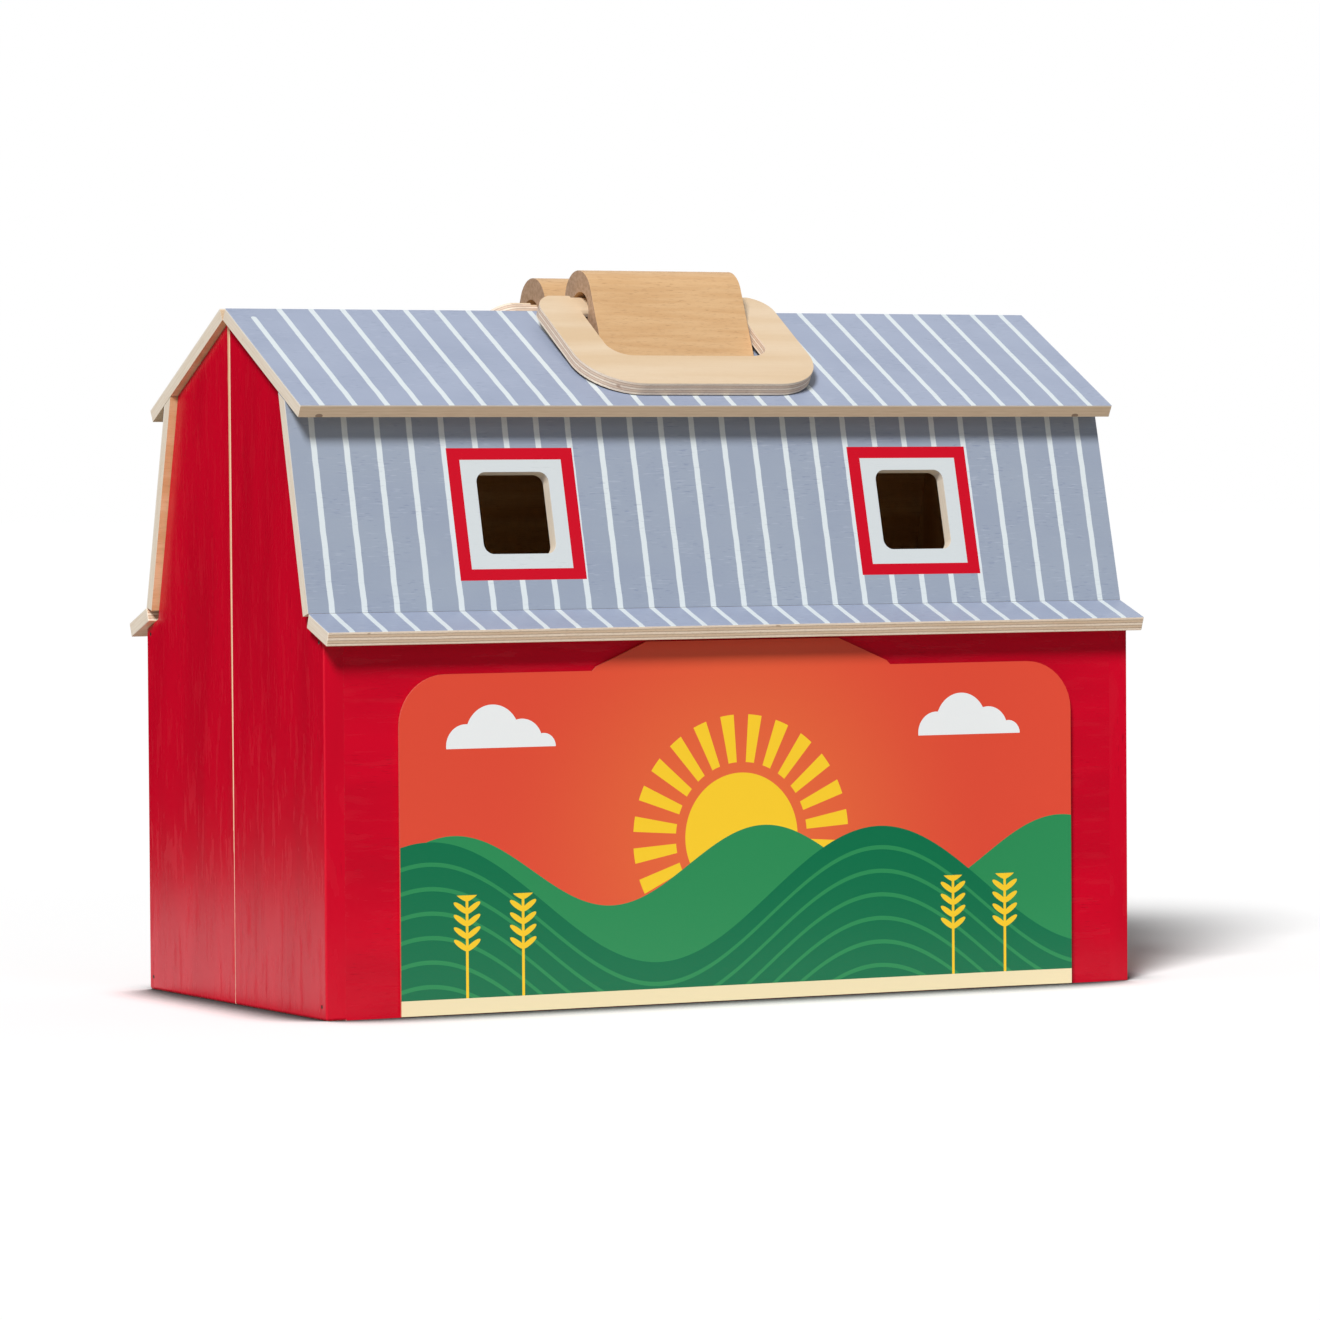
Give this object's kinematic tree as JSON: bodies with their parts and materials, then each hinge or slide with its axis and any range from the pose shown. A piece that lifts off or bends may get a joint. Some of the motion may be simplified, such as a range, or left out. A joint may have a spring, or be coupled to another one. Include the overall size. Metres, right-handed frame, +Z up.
{
  "type": "toy barn",
  "caption": "Folding wooden toy barn whose two halves open like a book, with sliding doors, stalls, lofts, windows, a loose ladder and fold-down carrying handles.",
  "frame": {"origin": "middle of the barn's footprint, on the surface that it stands on", "axes": "+X along the ridge towards the hinged gable, +Y towards the rear wall, +Z up; the wall with the display card faces -Y"},
  "size_m": [0.3503, 0.1876, 0.277],
  "materials": {
    "red_paint": "satin red paint with the grain showing",
    "blue_paint": "satin blue-grey paint with thin white stripes",
    "pine": "bare sanded pine",
    "plywood": "bare sanded birch plywood",
    "maple": "lacquered hardwood",
    "brass": "brass-plated steel",
    "steel": "zinc-plated",
    "card": "coated printed card"
  },
  "bodies": {
    "front_half": {"front_exterior_wall": "red_paint", "front_gable_free_end": "red_paint", "front_gable_hinge_end": "red_paint", "front_floor": "pine", "front_loft_floor": "pine", "front_loft_divider": "pine", "front_stall_divider_1": "pine", "front_stall_divider_2": "pine", "front_upper_roof": "blue_paint", "front_steep_roof": "blue_paint", "front_flared_eave": "blue_paint", "front_door_bottom_rail": "pine", "front_door_top_rail": "pine", "front_handle_block": "maple", "front_handle_screw_1": "steel", "front_handle_screw_2": "steel", "front_hinge_leaf": "brass", "front_hinge_screw_1": "brass", "front_hinge_screw_2": "brass", "front_hinge_screw_3": "brass", "front_hinge_screw_4": "brass", "hinge_pin": "steel", "stall_board": "pine"},
    "rear_half": {"rear_exterior_wall": "red_paint", "rear_gable_free_end": "red_paint", "rear_gable_hinge_end": "red_paint", "rear_floor": "pine", "rear_loft_floor": "pine", "rear_loft_divider": "pine", "rear_stall_divider_1": "pine", "rear_stall_divider_2": "pine", "rear_upper_roof": "blue_paint", "rear_steep_roof": "blue_paint", "rear_flared_eave": "blue_paint", "rear_door_bottom_rail": "pine", "rear_door_top_rail": "pine", "rear_handle_block": "maple", "rear_handle_screw_1": "steel", "rear_handle_screw_2": "steel", "rear_hinge_leaf": "brass", "rear_hinge_screw_1": "brass", "rear_hinge_screw_2": "brass", "rear_hinge_screw_3": "brass", "rear_hinge_screw_4": "brass"},
    "front_door": {"front_sliding_door": "plywood"},
    "rear_door": {"rear_sliding_door": "plywood"},
    "front_handle": {"front_handle_ring": "plywood"},
    "rear_handle": {"rear_handle_ring": "plywood"},
    "ladder": {"ladder": "plywood"},
    "display_card": {"display_card": "card"}
  },
  "joints": [
    {"name": "barn_fold", "type": "hinge", "parent": "front_half", "child": "rear_half", "pos_m": [0.1739, 0, 0.1], "axis": [0, 0, -1], "range_deg": [0, 180]},
    {"name": "front_door_slide", "type": "slide", "parent": "front_half", "child": "front_door", "axis": [1, 0, 0], "range_m": [0, 0.045]},
    {"name": "rear_door_slide", "type": "slide", "parent": "rear_half", "child": "rear_door", "axis": [1, 0, 0], "range_m": [0, 0.045]},
    {"name": "front_handle_lift", "type": "hinge", "parent": "front_half", "child": "front_handle", "pos_m": [-0.0008, -0.01577, 0.26234], "axis": [-1, 0, 0], "range_deg": [0, 118]},
    {"name": "rear_handle_lift", "type": "hinge", "parent": "rear_half", "child": "rear_handle", "pos_m": [-0.0034, 0.01928, 0.26043], "axis": [1, 0, 0], "range_deg": [0, 118]},
    {"name": "ladder_shift", "type": "slide", "parent": "front_half", "child": "ladder", "axis": [-1, 0, 0], "range_m": [0, 0.06]},
    {"name": "card_off", "type": "slide", "parent": "front_half", "child": "display_card", "axis": [0, -1, 0], "range_m": [0, 0.06]}
  ]
}
